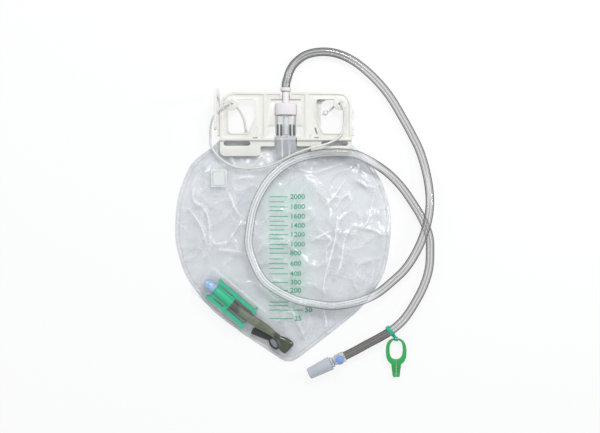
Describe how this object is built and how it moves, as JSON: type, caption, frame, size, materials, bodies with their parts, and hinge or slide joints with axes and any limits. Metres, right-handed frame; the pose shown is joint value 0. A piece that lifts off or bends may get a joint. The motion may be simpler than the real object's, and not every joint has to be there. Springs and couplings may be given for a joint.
{
  "type": "urine drainage bag",
  "caption": "Soft vented drainage bag with a hanger plate, bed hooks, drip chamber, looped clear drainage tube, capped connector, sheet clip and stowed drain outlet.",
  "frame": {"origin": "under the middle of the bag and its plate, on the surface that the bag lies on", "axes": "+Z out of the bag's front, +Y from the drain tip to the hanger plate, +X to the right as seen from the front"},
  "size_m": [0.3115, 0.3963, 0.0478],
  "materials": {
    "back_film": "white vinyl film, satin",
    "clear_film": "clear vinyl film, wrinkled and glossy",
    "filter": "cream fibre filter, matte",
    "ivory": "moulded ivory plastic, satin",
    "frosted": "frosted translucent plastic",
    "clear_moulding": "clear moulded plastic, glossy",
    "valve_film": "soft translucent sleeve",
    "green": "moulded green plastic, glossy",
    "teal": "moulded teal plastic, glossy",
    "blue_clear": "bluish clear plastic, glossy",
    "blue": "blue rubber septum, satin",
    "olive_rubber": "dark olive rubber, satin",
    "black_rubber": "black rubber, satin",
    "clear_tube": "clear vinyl tube, glossy",
    "string": "white plastic cord, satin"
  },
  "bodies": {
    "root": {"back_film": "back_film", "front_film": "clear_film", "air_vent_frame": "clear_film", "air_vent_filter": "filter", "hanger_plate": "ivory", "inlet_connector": "frosted", "chamber_cap": "frosted", "chamber_body": "clear_moulding", "drip_tube": "clear_moulding", "anti_reflux_valve": "valve_film", "outlet_holder": "green", "outlet_nozzle": "blue_clear", "outlet_tube": "olive_rubber", "outlet_port": "olive_rubber", "outlet_strap": "black_rubber", "outlet_pocket": "clear_film", "drainage_tube": "clear_tube", "hanging_string": "string", "left_string_knot": "string", "right_string_knot": "string", "sampling_port": "clear_moulding", "sampling_septum": "blue", "catheter_connector": "clear_moulding", "clip_strap": "teal"},
    "left_hook": {"left_hook": "ivory"},
    "right_hook": {"right_hook": "ivory"},
    "connector_cap": {"connector_cap": "frosted"},
    "sheet_clip": {"sheet_clip": "green"}
  },
  "joints": [
    {"name": "left_hook_hinge", "type": "hinge", "parent": "root", "child": "left_hook", "pos_m": [-0.0764, 0.13, 0.0022], "axis": [0, -1, 0], "range_deg": [0, 270]},
    {"name": "right_hook_hinge", "type": "hinge", "parent": "root", "child": "right_hook", "pos_m": [0.0832, 0.13, 0.0022], "axis": [0, -1, 0], "range_deg": [0, 165]},
    {"name": "connector_cap_pull", "type": "slide", "parent": "root", "child": "connector_cap", "axis": [-0.8944, -0.4472, 0], "range_m": [0, 0.03]},
    {"name": "sheet_clip_hinge", "type": "hinge", "parent": "root", "child": "sheet_clip", "pos_m": [0.13599, -0.13472, 0.0031], "axis": [-1, 0, 0], "range_deg": [0, 90]}
  ]
}
